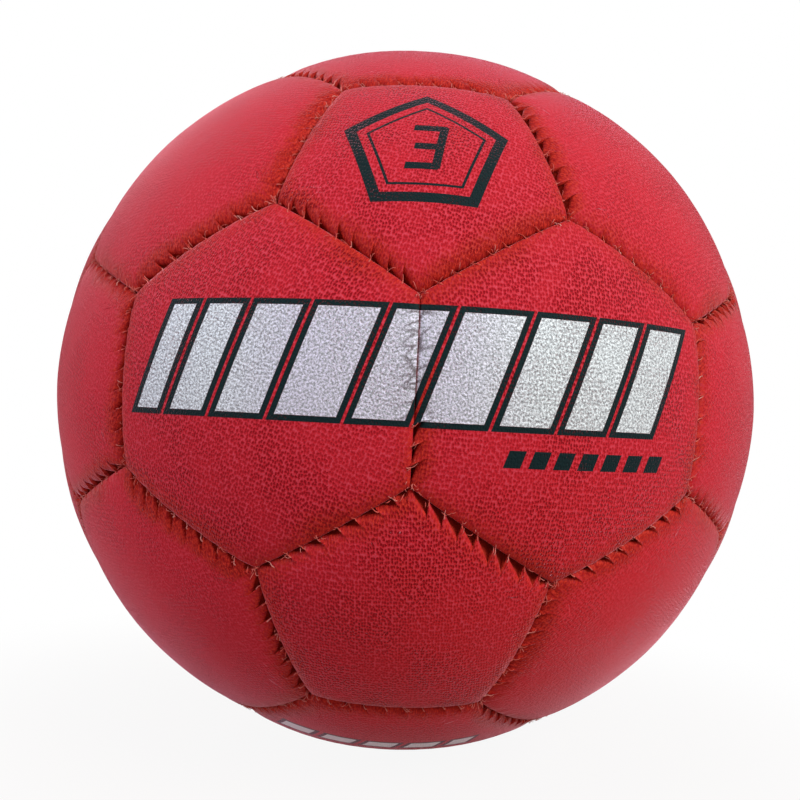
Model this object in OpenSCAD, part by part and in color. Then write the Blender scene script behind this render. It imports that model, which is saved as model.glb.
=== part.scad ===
/* [Ball] */
// Diameter of the ball over the crowns of its panels
ball_d = 188; // [150:1:196]
// Gap that the stitches leave between two panels
seam_gap = 0.3; // [0.2:0.05:0.5]

/* [Cover panels] */
// Thickness of the synthetic leather
skin_t = 2; // [1.6:0.1:2.4]
// Width of the edge that rolls down into a seam
edge_w = 6; // [5:0.5:8]
// Depth of the valley where two rolled edges meet
valley_depth = 2.4; // [1.8:0.1:2.8]
// Height of the seam allowance that is turned into the ball
allowance_h = 2.8; // [2.4:0.1:3.2]
// Thickness of the seam allowance
allowance_t = 1.2; // [0.8:0.1:1.4]

/* [Stitching] */
// Diameter of the waxed thread
thread_d = 0.7; // [0.5:0.1:0.9]
// Clearance of the thread beside the allowance and beside the lining
thread_gap = 0.1; // [0.05:0.05:0.2]
// Depth of the row of stitches below the valley
stitch_depth = 1.4; // [1.2:0.1:1.6]
// Length of a seam at each corner that the row of stitches stops short of
corner_margin = 3; // [2.6:0.1:4]

/* [Lining] */
// Thickness of the laminated cloth behind a panel
lining_t = 2.2; // [1.4:0.1:2.4]
// Thickness of a film of glue
glue_t = 0.15; // [0.1:0.05:0.25]

/* [Bladder] */
// Thickness of the rubber bladder
bladder_t = 0.9; // [0.6:0.1:1.4]
// Play between the bladder and the cover around it
bladder_play = 0.15; // [0.1:0.05:0.25]

/* [Valve] */
// Diameter of the neck that stands in the cover's hole
neck_d = 9; // [8:0.5:11]
// Clearance around the neck
neck_gap = 0.3; // [0.15:0.05:0.5]
// Depth of the neck's face below the panel's face
neck_recess = 0.8; // [0.5:0.1:1.2]
// Diameter of the round flange that is glued inside the bladder
flange_d = 30; // [24:1:36]
// Thickness of that flange
flange_t = 1.2; // [0.8:0.1:1.6]
// Diameter of the stem that hangs inside the bladder
stem_d = 11; // [10:0.5:13]
// Length of the stem below the flange
stem_l = 10; // [8:0.5:14]
// Diameter of the outer ring of the cloth patch
patch_d = 26; // [20:1:34]
// Thickness of the cloth patch
patch_t = 0.4; // [0.3:0.05:0.5]

/* [Valve plug] */
// Diameter of the plug's shank
plug_d = 5; // [4:0.2:5.6]
// Diameter of the plug's head
plug_head_d = 6.8; // [6.4:0.2:7.4]
// Thickness of the plug's head
plug_head_t = 1.4; // [1:0.1:2]
// How far the ridge on the shank stands out
plug_ridge = 0.6; // [0.3:0.1:0.8]
// Height of that ridge
plug_ridge_h = 2.4; // [1.6:0.2:3.2]
// Clearance of the plug in its seat
plug_gap = 0.05; // [0.03:0.01:0.1]
// Length of the tip that tapers below the stem
plug_tip_l = 1.6; // [1:0.2:2.4]
// Diameter of the channel for the inflating needle
needle_d = 2; // [1.6:0.1:2.4]
// Length of that channel
needle_l = 9; // [6:0.5:12]
// Depth of the dimple that leads the needle in
dimple_h = 0.6; // [0.4:0.1:0.8]

/* [Hidden] */
$fn = 96;
small_fn = 32;
// One overrun serves every cut
cut = ball_d / 200;

cover_red = [0.74, 0.17, 0.2];
cloth_white = [0.88, 0.86, 0.8];
thread_red = [0.62, 0.16, 0.15];
bladder_black = [0.13, 0.13, 0.14];
valve_grey = [0.24, 0.24, 0.26];
plug_white = [0.85, 0.84, 0.8];

ball_r = ball_d / 2;
phi = (1 + sqrt(5)) / 2;

// Angle from the middle of a panel to the middle of its sides, with sides of 1
mid_edge_share = 3 * phi / 2;
hexagon_tilt = asin(sqrt(3) / 2 / mid_edge_share);
pentagon_tilt = asin(1 / (2 * tan(36)) / mid_edge_share);
half_edge_angle = atan(1 / (2 * mid_edge_share));

// The rolled edge is an arc from the crown, which it meets at a slight angle, to the valley
crown_angle = 6;
edge_top_r = sqrt(ball_r * ball_r - edge_w * edge_w);
valley_r = ball_r - valley_depth;
edge_start_angle = crown_angle - asin(edge_w / ball_r);
edge_fall_angle = atan2(edge_top_r - valley_r, edge_w - seam_gap / 2);
edge_chord = norm([edge_top_r - valley_r, edge_w - seam_gap / 2]);
edge_r = edge_chord / (2 * sin(edge_fall_angle - edge_start_angle));
edge_centre_r = edge_top_r - edge_r * cos(edge_start_angle);
edge_centre_w = edge_w + edge_r * sin(edge_start_angle);
// The edge is rolled along the whole seam and one width past each corner
edge_half_sweep = half_edge_angle + edge_w / ball_r * 180 / PI;

// Distances from the ball's centre, from the cover inwards
allowance_tip_r = valley_r - allowance_h;
lining_depth = skin_t + glue_t;
lining_inner_r = ball_r - lining_depth - lining_t;
patch_outer_r = lining_inner_r - glue_t;
patch_inner_r = patch_outer_r - patch_t;
bladder_r = min(allowance_tip_r, patch_inner_r) - bladder_play;
bladder_inner_r = bladder_r - bladder_t;

// Insets from the plane of a seam
panel_inset = seam_gap / 2;
cavity_inset = panel_inset + allowance_t;
thread_inset = cavity_inset + thread_gap + thread_d / 2;
lining_inset = thread_inset + thread_d / 2 + thread_gap;

// Under the skin the edges are bevelled along the chord of the rolled edge
function rolled_r(w) = edge_centre_r + sqrt(edge_r * edge_r - (w - edge_centre_w) * (w - edge_centre_w));
bevel_slope = (edge_top_r - rolled_r(cavity_inset)) / (edge_w - cavity_inset);
function bevel_r(w) = edge_top_r - (edge_w - w) * bevel_slope;

// The row of stitches in each seam, as an angle about the ball's centre
stitch_r = valley_r - stitch_depth;
stitch_sweep = 2 * (half_edge_angle - corner_margin / stitch_r * 180 / PI);

// Levels of the valve along its own axis
neck_top_r = ball_r - neck_recess;
flange_outer_r = bladder_inner_r - glue_t;
flange_inner_r = flange_outer_r - flange_t;
stem_end_r = flange_inner_r - stem_l;
plug_seat_r = neck_top_r - plug_head_t;
plug_ridge_r = flange_inner_r;
plug_end_r = stem_end_r - plug_tip_l;
cover_hole_r = neck_d / 2 + neck_gap;

// Middles of the panels: corners of an icosahedron and of its dual dodecahedron
pentagon_places = [for (a = [-1, 1], b = [-1, 1]) each [
    [0, a * phi, b],
    [b, 0, a * phi],
    [a * phi, b, 0]
]];
hexagon_places = concat(
    [for (x = [-1, 1], y = [-1, 1], z = [-1, 1]) [x, y, z]],
    [for (a = [-1, 1], b = [-1, 1]) each [
        [a / phi, b * phi, 0],
        [0, a / phi, b * phi],
        [b * phi, 0, a / phi]
    ]]
);
// The valve stands in a panel on the far side from the front
valve_place = [1 / phi, phi, 0];

function unit(v) = v / norm(v);
function beside(v, axis) = unit(v - axis * (v * axis));
function furthest_along(axis, places) = let (
    reach = [for (p = places) p * axis]
) places[search(max(reach), reach)[0]];
function two_digits(n) = str(n < 10 ? "0" : "", n);
function names(stem, count) = [for (i = [1:count]) str(stem, "_", two_digits(i))];

// Puts a piece that is built around +Z, with a side towards +X, at a panel's place
module at_place(place, others) {
    z = unit(place);
    x = beside(furthest_along(z, others), z);
    y = cross(z, x);
    multmatrix([
        [x[0], y[0], z[0], 0],
        [x[1], y[1], z[1], 0],
        [x[2], y[2], z[2], 0],
        [0, 0, 0, 1]
    ]) children();
}

// Turns to each seam of a panel: +Z out through the seam's middle, +Y along it, +X across it
module at_seams(sides, tilt) {
    for (i = [0:sides - 1]) rotate([0, 0, i * 360 / sides]) rotate([0, tilt, 0]) children();
}

// The endless pyramid of a panel, with its faces set back from the planes of the seams
module wedge(sides, tilt, inset) {
    intersection_for(i = [0:sides - 1]) rotate([0, 0, i * 360 / sides]) rotate([0, tilt, 0])
        translate([-ball_d - inset, -ball_d, -ball_d]) cube([ball_d, 2 * ball_d, 2 * ball_d]);
}

// Sweeps a profile, drawn as distance from the ball's centre and from the seam, along a seam
module along_seam() {
    rotate([0, -90, 0]) rotate([0, 0, -edge_half_sweep]) rotate_extrude(angle = 2 * edge_half_sweep) children();
}

// What is taken off beside a seam to roll the edge of a panel's face
module rolled_edge() {
    along_seam() difference() {
        translate([edge_centre_r, -cut]) square([ball_r + cut - edge_centre_r, edge_w + 2 * cut]);
        translate([edge_centre_r, edge_centre_w]) circle(r = edge_r);
    }
}

// What is taken off beside a seam to bevel a layer that lies at a depth below the face
module bevelled_edge(depth) {
    along_seam() polygon([
        [bevel_r(-cut) - depth, -cut],
        [bevel_r(edge_w + cut) - depth, edge_w + cut],
        [ball_r + cut, edge_w + cut],
        [ball_r + cut, -cut]
    ]);
}

// Solid form of a layer under the face, at a depth below it and an inset from the seams
module layer(sides, tilt, depth, inset) {
    difference() {
        intersection() {
            sphere(r = ball_r - depth);
            wedge(sides, tilt, inset);
        }
        at_seams(sides, tilt) bevelled_edge(depth);
    }
}

// A panel: a skin with rolled edges and its seam allowances turned in
module panel(sides, tilt) {
    difference() {
        difference() {
            intersection() {
                sphere(r = ball_r);
                wedge(sides, tilt, panel_inset);
            }
            at_seams(sides, tilt) rolled_edge();
        }
        layer(sides, tilt, skin_t, cavity_inset);
        sphere(r = allowance_tip_r);
    }
}

// The cloth laminated to the back of a panel, between its seam allowances
module lining(sides, tilt) {
    difference() {
        layer(sides, tilt, lining_depth, lining_inset);
        sphere(r = lining_inner_r);
    }
}

// Thread of one seam: the row of stitches shows as a run of thread beside each allowance
module seam_thread() {
    for (side = [-1, 1]) rotate([0, -90, 0]) rotate([0, 0, -stitch_sweep / 2])
        rotate_extrude(angle = stitch_sweep) translate([stitch_r, side * thread_inset])
            circle(d = thread_d, $fn = small_fn);
}

module hexagon_panel(number) {
    place = hexagon_places[number - 1];
    color(cover_red) difference() {
        at_place(place, pentagon_places) panel(6, hexagon_tilt);
        if (place == valve_place) at_valve() cylinder(h = ball_r + cut, r = cover_hole_r);
    }
}

module pentagon_panel(number) {
    color(cover_red) at_place(pentagon_places[number - 1], hexagon_places) panel(5, pentagon_tilt);
}

module hexagon_linings() {
    color(cloth_white) for (place = hexagon_places) difference() {
        at_place(place, pentagon_places) lining(6, hexagon_tilt);
        if (place == valve_place) at_valve() cylinder(h = ball_r + cut, r = cover_hole_r);
    }
}

module pentagon_linings() {
    color(cloth_white) for (place = pentagon_places) at_place(place, hexagon_places)
        lining(5, pentagon_tilt);
}

// Thread of the 30 seams between two hexagons, each midway between two neighbouring pentagons
module hexagon_seam_thread() {
    color(thread_red) for (i = [0:len(pentagon_places) - 2], j = [i + 1:len(pentagon_places) - 1])
        if (norm(pentagon_places[i] - pentagon_places[j]) < phi + 1) {
            z = unit(pentagon_places[i] + pentagon_places[j]);
            y = unit(pentagon_places[j] - pentagon_places[i]);
            x = cross(y, z);
            multmatrix([
                [x[0], y[0], z[0], 0],
                [x[1], y[1], z[1], 0],
                [x[2], y[2], z[2], 0],
                [0, 0, 0, 1]
            ]) seam_thread();
        }
}

// Thread of the 60 seams around the pentagons
module pentagon_seam_thread() {
    color(thread_red) for (place = pentagon_places) at_place(place, hexagon_places)
        at_seams(5, pentagon_tilt) seam_thread();
}

// Stands a piece of the valve on the ball's radius through the valve panel
module at_valve() {
    at_place(valve_place, pentagon_places) children();
}

module bladder() {
    color(bladder_black) difference() {
        sphere(r = bladder_r);
        sphere(r = bladder_inner_r);
        at_valve() cylinder(h = ball_r, r = cover_hole_r);
    }
}

// Ring of cloth around the neck, glued behind the lining of the valve panel
module valve_patch() {
    color(cloth_white) at_valve() intersection() {
        difference() {
            sphere(r = patch_outer_r);
            sphere(r = patch_inner_r);
            cylinder(h = ball_r, r = cover_hole_r);
        }
        cylinder(h = ball_r, d = patch_d);
    }
}

// Moulded rubber body: flange inside the bladder, neck out through the cover, stem inwards
module valve_body() {
    color(valve_grey) at_valve() difference() {
        union() {
            intersection() {
                difference() {
                    sphere(r = flange_outer_r);
                    sphere(r = flange_inner_r);
                }
                cylinder(h = ball_r, d = flange_d);
            }
            translate([0, 0, flange_inner_r - flange_t]) cylinder(h = neck_top_r - flange_inner_r + flange_t, d = neck_d);
            translate([0, 0, stem_end_r]) cylinder(h = stem_l, d = stem_d);
        }
        plug_form(plug_gap);
        translate([0, 0, plug_seat_r]) cylinder(h = plug_head_t + cut, d = plug_head_d + 2 * plug_gap);
        translate([0, 0, stem_end_r - cut]) cylinder(h = stem_l, d = plug_d + 2 * plug_gap);
    }
}

// Outline of the plug turned about its axis, grown by a clearance for its seat
module plug_form(gap) {
    shank_r = plug_d / 2 + gap;
    ridge_r = shank_r + plug_ridge;
    rotate_extrude() polygon([
        [0, plug_end_r - gap],
        [shank_r / 2, plug_end_r - gap],
        [shank_r, stem_end_r],
        [shank_r, plug_ridge_r - plug_ridge_h / 2 - gap],
        [ridge_r, plug_ridge_r - gap],
        [ridge_r, plug_ridge_r + gap],
        [shank_r, plug_ridge_r + plug_ridge_h / 2 + gap],
        [shank_r, plug_seat_r],
        [plug_head_d / 2 + gap, plug_seat_r],
        [plug_head_d / 2 + gap, neck_top_r],
        [0, neck_top_r]
    ]);
}

// Soft plug that closes around the inflating needle, with the channel that leads it in
module valve_plug() {
    color(plug_white) at_valve() difference() {
        plug_form(0);
        translate([0, 0, neck_top_r - needle_l]) cylinder(h = needle_l + cut, d = needle_d, $fn = small_fn);
        translate([0, 0, neck_top_r - dimple_h]) cylinder(
            h = dimple_h + cut, d1 = needle_d, d2 = needle_d + 2 * (dimple_h + cut), $fn = small_fn
        );
    }
}

for (i = [1:len(hexagon_places)])
    hexagon_panel(i);
for (i = [1:len(pentagon_places)])
    pentagon_panel(i);
hexagon_linings();
pentagon_linings();
hexagon_seam_thread();
pentagon_seam_thread();
bladder();
valve_patch();
valve_body();
valve_plug();
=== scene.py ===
import math
from functools import partialmethod, reduce
from itertools import product
from types import SimpleNamespace

import bpy
import numpy as np
from mathutils import Matrix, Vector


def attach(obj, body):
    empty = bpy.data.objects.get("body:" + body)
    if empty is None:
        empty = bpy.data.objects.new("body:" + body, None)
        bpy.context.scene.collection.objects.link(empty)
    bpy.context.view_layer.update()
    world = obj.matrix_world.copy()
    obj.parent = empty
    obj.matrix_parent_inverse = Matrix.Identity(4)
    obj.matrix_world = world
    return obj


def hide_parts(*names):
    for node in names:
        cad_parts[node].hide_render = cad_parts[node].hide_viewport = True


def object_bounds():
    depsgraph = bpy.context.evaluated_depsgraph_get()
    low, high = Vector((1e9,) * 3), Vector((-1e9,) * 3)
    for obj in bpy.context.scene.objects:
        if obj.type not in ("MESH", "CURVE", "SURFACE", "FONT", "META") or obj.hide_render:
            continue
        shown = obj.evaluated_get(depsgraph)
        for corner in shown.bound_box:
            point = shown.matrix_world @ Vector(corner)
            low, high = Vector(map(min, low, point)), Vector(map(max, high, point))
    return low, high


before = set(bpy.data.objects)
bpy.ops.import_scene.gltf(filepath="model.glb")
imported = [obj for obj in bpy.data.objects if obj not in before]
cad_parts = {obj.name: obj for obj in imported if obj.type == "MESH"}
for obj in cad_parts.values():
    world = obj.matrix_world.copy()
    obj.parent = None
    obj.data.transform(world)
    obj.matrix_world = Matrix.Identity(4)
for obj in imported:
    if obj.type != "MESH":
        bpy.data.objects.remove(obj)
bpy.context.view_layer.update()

MM = 0.001
SEED = 7

# Sizes of the ball, in millimetres, as in the CAD part
BALL_R = 94.0
SKIN_T = 2.0
SEAM_GAP = 0.3
VALLEY_DEPTH = 2.4
ALLOWANCE_H = 2.8
ALLOWANCE_T = 1.2
STITCH_DEPTH = 1.4
VALVE_HOLE_R = 4.8

SKIN_INNER_R = BALL_R - SKIN_T
VALLEY_R = BALL_R - VALLEY_DEPTH
TIP_R = VALLEY_R - ALLOWANCE_H
ALLOWANCE_OUT = SEAM_GAP / 2
ALLOWANCE_IN = ALLOWANCE_OUT + ALLOWANCE_T

# Angles of the truncated icosahedron: from a panel's middle to its seams, and half a seam
GOLDEN = (1 + 5 ** 0.5) / 2
MID_EDGE_SHARE = 3 * GOLDEN / 2
HEXAGON_TILT = math.asin(math.sqrt(3) / 2 / MID_EDGE_SHARE)
PENTAGON_TILT = math.asin(1 / (2 * math.tan(math.radians(36))) / MID_EDGE_SHARE)
HALF_EDGE = math.atan(1 / (2 * MID_EDGE_SHARE))

# When two directions are the same one, and how far an angle may be off, in radians
SAME_DIRECTION = 0.999
ANGLE_SLACK = 0.01

# How panels round down to their seams: of two neighbours the front one has a smooth edge, and the other a
# deeper one with teeth
ROLL_WIDTH = 6.4
SMOOTH_DROP = 0.95
TOOTHED_DROP = 2.0
DROP_POWER = 3.0
LEAST_DROP = 0.05
EDGE_ROUND, EDGE_ROUND_REACH = 0.2, 0.7
PILLOW_DEPTH, PILLOW_WIDTH = 0.85, 24.0

# The crown's slow unevenness
WAVE_DEPTH, WAVE_LENGTH, WAVE_REACH = 0.14, 13.0, 5.0
WAVE_DIRECTIONS = ((1.1, 0.3, 0.5), (-0.4, 1.3, 0.2), (0.3, -0.6, 1.4))
WAVE_STEP = 2.1

# Pits and teeth: their depth and height, and how far into the panel they, their slant and the painted seam
# shade and bounce light carry
SINK, SINK_REACH = 0.5, 2.6
RIDGE_HEIGHT, RIDGE_WIDTH, RIDGE_REACH = 0.75, 0.5, 2.8
RIDGE_SLACK = 0.02
LAP = 0.35
SHUT_GAP = 0.012
SMOOTH_PIT_SHARE = 0.3
PIT_POWER, PIT_END_SHARE = 0.8, 0.995
RECESS_REACH = 6.0
SLIDE_FULL, SLIDE_FADE = 2.5, 5.0
CORNER_FADE = 1.6
SLANT_FADE = 5.0
SLANT_POWER = 3
# Painted shade and bounce light beside the seams: its strength beside a smooth side, and how far into the
# panel it reaches
SMOOTH_SEAM_SHADING, SEAM_SHADING_REACH = 0.6, 7.0

# Stitches along a seam, samples between two of them, rings of points from the seam inwards, and the crown,
# which takes up one point of every few
STITCHES = 9
FRACTIONS = (0, 0.04, 0.1, 0.17, 0.25, 0.34, 0.43, 0.52, 0.61, 0.7, 0.79, 0.87, 0.94, 0.985)
COARSE = 6
EDGE_RINGS = (0.0, 0.1, 0.25, 0.45, 0.7, 1.0, 1.35, 1.8, 2.35, 3.0, 3.8, 4.7, 5.8)
CROWN_RINGS = 8
CROWN_STEP = 1.6
CROWN_DIP = 0.02

# The turned-in rim: its first ring's distance from the seam, how far under the lip that ring and the last
# one are, and the last one's greatest height. Each ring of the underside: its distance from the seam, its
# depth under the skin's inner face, and its share of the way to the middle; the last is for a hole only
LIP_IN, LIP_TURN, LIP_END = 0.03, 0.35, 0.9
RIM_TOP_R = 90.8
UNDERSIDE_RINGS = ((4.5, 0.35, 0), (7.0, 0, 0), (7.0, 0, 0.55), (7.0, 0, 1))

# Depth and edge attributes where they aren't a true distance
HIDDEN_DEPTH = 4.5
MIDDLE_EDGE, UNDERSIDE_EDGE = 30, 10

# A face's material slot: the outer skin or the turned-in rim
OUTER, INNER = 0, 1

# How far chance turns and moves each panel's grain, in radians and millimetres
GRAIN_TURN, GRAIN_SHIFT = 0.3, 400.0

# What chance gives each seam: the lowest and the highest value
CUT_SHIFT_SHARE = 0.1
GAPES = (0.7, 1.15)
BITES = (1.4, 2.3)
STARTS = (0.25, 0.5)
VALLEYS = (0.8, 1.05)
# The strength of the painted shade and bounce light beside a seam
SEAM_SHADINGS = (0.75, 1.0)
LEANS = (0.38, 0.6)


def unit(v):
    v = np.asarray(v, float)
    return v / np.linalg.norm(v, axis=-1, keepdims=True)


def hexagon_places():
    places = list(product((-1, 1), repeat=3))
    for s, t in product((-1, 1), repeat=2):
        b, a = s / GOLDEN, t * GOLDEN
        places += [(b, a, 0), (0, b, a), (a, 0, b)]
    return places


def pentagon_places():
    places = []
    for s, t in product((-1, 1), repeat=2):
        a = s * GOLDEN
        places += [(0, a, t), (t, 0, a), (a, t, 0)]
    return places


HEXAGONS = unit(hexagon_places())
PENTAGONS = unit(pentagon_places())


def panel_axes(centre, others):
    """A panel's own axes: towards its nearest neighbour of the other kind, across, and outwards."""
    nearest = others[np.argmax(others @ centre)]
    x = unit(nearest - centre * (nearest @ centre))
    return x, np.cross(centre, x), centre


def smooth(t):
    """0 below 0, 1 above 1, and a curve between them."""
    t = np.clip(t, 0, 1)
    return t * t * (3 - 2 * t)


# Seams seen in the photograph: middle, depth of the pits, where between two stitches they begin, depth of
# the valley, strength of the painted shade and bounce light beside it, and the height above which the seam
# is shut, if anywhere
OPEN = 99.0
SEAM_LOOKS = (
    ((0.0, -1.0, 0.0), 1.3, 0.30, 0.45, 0.9, -8.0),
    ((-0.167, -0.936, 0.309), 1.7, 0.35, 1.1, 0.9, OPEN),
    ((0.167, -0.936, 0.309), 0.8, 0.50, 0.9, 0.95, OPEN),
    ((-0.167, -0.936, -0.309), 1.7, 0.20, 1.0, 0.7, OPEN),
    ((0.167, -0.936, -0.309), 3.3, 0.04, 0.8, 0.45, OPEN),
    ((-0.5, -0.809, -0.309), 3.0, 0.40, 0.6, 1.2, OPEN),
    ((0.5, -0.809, -0.309), 1.7, 0.48, 0.45, 0.75, OPEN),
    ((0.667, -0.745, 0.0), 1.1, 0.55, 0.5, 0.55, OPEN),
    ((0.5, -0.809, 0.309), 1.2, 0.40, 1.0, 0.5, OPEN),
)


class Seam:
    """One seam. Both panels beside it read the same stitches from here."""

    def __init__(self, middle, tangent, number):
        rng = np.random.default_rng(SEED * 1000 + number)
        self.middle = middle
        self.tangent = tangent
        self.across = np.cross(middle, tangent)
        self.half = BALL_R * HALF_EDGE
        pitch = 2 * self.half / STITCHES
        self.cuts = np.linspace(-self.half, self.half, STITCHES + 1)
        self.cuts[1:-1] += rng.uniform(-CUT_SHIFT_SHARE, CUT_SHIFT_SHARE, STITCHES - 1) * pitch
        self.gape = rng.uniform(*GAPES, STITCHES)
        self.bite = rng.uniform(*BITES)
        self.start = rng.uniform(*STARTS)
        self.valley = rng.uniform(*VALLEYS)
        # How strong the painted shade and bounce light beside this seam are
        self.seam_shading = rng.uniform(*SEAM_SHADINGS)
        for place, bite, start, valley, seam_shading, shut_above in SEAM_LOOKS:
            if unit(place) @ middle > SAME_DIRECTION:
                self.bite, self.start, self.valley, self.seam_shading = bite, start, valley, seam_shading
                heights = tangent[2] * (self.cuts[1:] + self.cuts[:-1]) / 2
                self.gape[heights > shut_above] = 0
        self.lean = -rng.uniform(*LEANS)
        self.toothed = 0
        self.rng = rng

    def pit(self, along):
        """How far the seam gapes, 0 at a stitch: it opens slowly, and shuts at once at the next one."""
        pit = np.zeros_like(along)
        for left, right, gape in zip(self.cuts[:-1], self.cuts[1:], self.gape):
            done = (along - left) / (right - left)
            done = done if self.toothed < 0 else 1 - done
            opened = np.clip((done - self.start) / (1 - self.start), 0, 1) ** PIT_POWER
            pit = np.maximum(pit, np.where(done < PIT_END_SHARE, gape * opened, 0))
        return pit * smooth((self.half - abs(along)) / CORNER_FADE)

    def ridge(self, along):
        """The leather that each stitch draws up to a point, 0 to 1."""
        ridge = np.zeros_like(along)
        for cut, gape in zip(self.cuts[1:-1], self.gape):
            beyond = (along - cut) * (1 if self.toothed < 0 else -1)
            drawn = gape * np.exp(-(beyond / RIDGE_WIDTH) ** 2)
            ridge = np.maximum(ridge, np.where(beyond > -RIDGE_SLACK, drawn, 0))
        return ridge


SEAMS = {}

# Of two neighbours, the one with the smaller sum along these weights is the front one
FRONT_FIRST = np.array((0.1, 3.0, 0.01))


def nearest_other(centre, middle):
    """The middle of the panel on the far side of a seam."""
    every = np.concatenate([HEXAGONS, PENTAGONS])
    a, b = every[np.argsort(-(every @ middle))[:2]]
    return b if a @ centre > SAME_DIRECTION else a


def seam_of(middle, tangent):
    """The seam at this middle, and 1 or -1 for whether it runs along the tangent given."""
    key = tuple(int(round(c * 1000)) for c in middle)
    if key not in SEAMS:
        SEAMS[key] = Seam(middle, tangent, len(SEAMS))
    seam = SEAMS[key]
    return seam, 1 if seam.tangent @ tangent > 0 else -1


class Side:
    """One side of one panel: its seam plane, its own direction along it and its stitches."""

    def __init__(self, axes, azimuth, tilt):
        x, y, z = axes
        out = x * math.cos(azimuth) + y * math.sin(azimuth)
        self.out = out
        self.along = -x * math.sin(azimuth) + y * math.cos(azimuth)
        self.inward = z * math.sin(tilt) - out * math.cos(tilt)
        middle = z * math.cos(tilt) + out * math.sin(tilt)
        self.seam, self.sign = seam_of(middle, self.along)
        self.face = 1 if self.inward @ self.seam.across > 0 else -1
        beyond = nearest_other(z, middle)
        front, other = (round(float(v @ FRONT_FIRST), 3) for v in (z, beyond))
        self.smooth = front < other
        self.seam.toothed = -self.face if self.smooth else self.face
        self.deepness = (SMOOTH_DROP if self.smooth else TOOTHED_DROP) * self.seam.valley

    def spots(self):
        """Angles along this side, close together round each stitch."""
        seam = self.seam
        start, stop = seam.cuts[:-1], seam.cuts[1:]
        if seam.toothed > 0:
            start, stop = stop, start
        along = start[:, None] + (stop - start)[:, None] * np.array(FRACTIONS)
        last = stop[-1] if seam.toothed < 0 else stop[0]
        return np.sort(np.append(along, last) * self.sign / BALL_R)[:-1]

    def stitched(self, angles):
        """At each spot: recess of the edge, how far it gapes, drawn-up leather, and slant."""
        along = BALL_R * angles * self.sign
        pit, ridge = self.seam.pit(along), self.seam.ridge(along)
        inner = smooth((self.seam.half - abs(along)) / SLANT_FADE)
        slant = self.seam.lean * self.face * self.sign * inner
        if self.smooth:
            return np.full_like(pit, SHUT_GAP), SMOOTH_PIT_SHARE * pit, np.zeros_like(ridge), slant
        return SHUT_GAP + self.seam.bite * pit - LAP * ridge, pit, ridge, slant


def slide(w):
    """How far into the panel the slant of the teeth carries."""
    return w * np.clip(1 - (w - SLIDE_FULL) / SLIDE_FADE, 0, 1)


def roll(w, depth):
    """How far a panel has rolled down at a distance w from its seam: a quarter of an ellipse."""
    t = np.clip(1 - w / ROLL_WIDTH, 0, 1)
    return depth * (1 - np.sqrt(1 - t * t))


def pillow(w):
    """How far a panel slopes down at a distance w from its seam, beside the roll."""
    return PILLOW_DEPTH * np.clip(1 - w / PILLOW_WIDTH, 0, 1) ** 2


def waves(points, phase):
    """A slow unevenness of the crown, between 0 and 1."""
    total = np.zeros(len(points))
    for k, direction in enumerate(WAVE_DIRECTIONS):
        total += np.sin(points / WAVE_LENGTH @ np.array(direction) + phase + WAVE_STEP * k)
    return (1 + total / len(WAVE_DIRECTIONS)) / 2


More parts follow.
